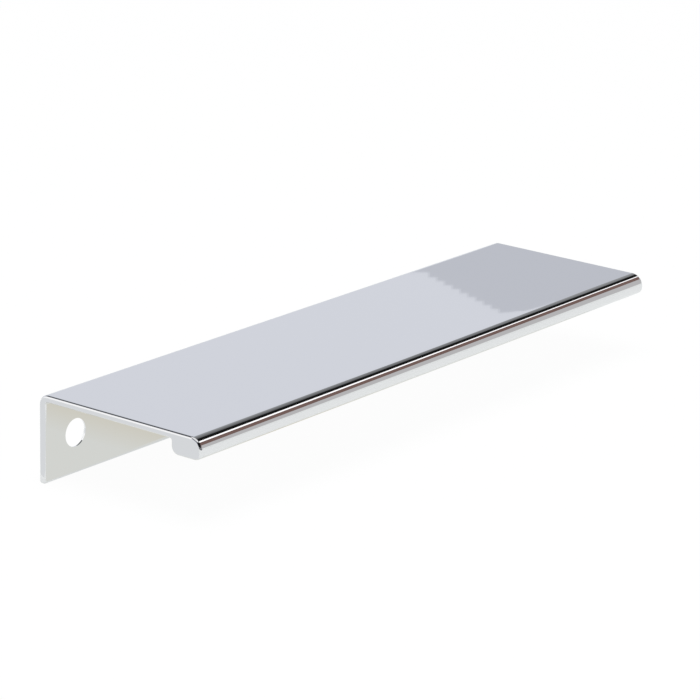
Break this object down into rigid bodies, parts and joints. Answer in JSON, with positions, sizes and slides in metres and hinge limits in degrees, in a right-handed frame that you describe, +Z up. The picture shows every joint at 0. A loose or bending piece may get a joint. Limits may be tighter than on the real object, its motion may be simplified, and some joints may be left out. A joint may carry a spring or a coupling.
{
  "type": "tab pull",
  "caption": "Edge pull cast in one piece: flat top plate, flange behind with countersunk screw holes, and a thick rounded nose along the front edge.",
  "frame": {"origin": "halfway between the two screw holes, on their common line, at the flange's inner face, which lies against the back of the door or drawer front", "axes": "+X along the pull, -Y from the flange towards the nose, +Z up, normal to the top plate"},
  "size_m": [0.145, 0.0395, 0.0176],
  "materials": {
    "polished_chrome": "bright polished chrome plate on a cast body"
  },
  "bodies": {
    "root": {"pull_body": "polished_chrome"}
  },
  "joints": []
}
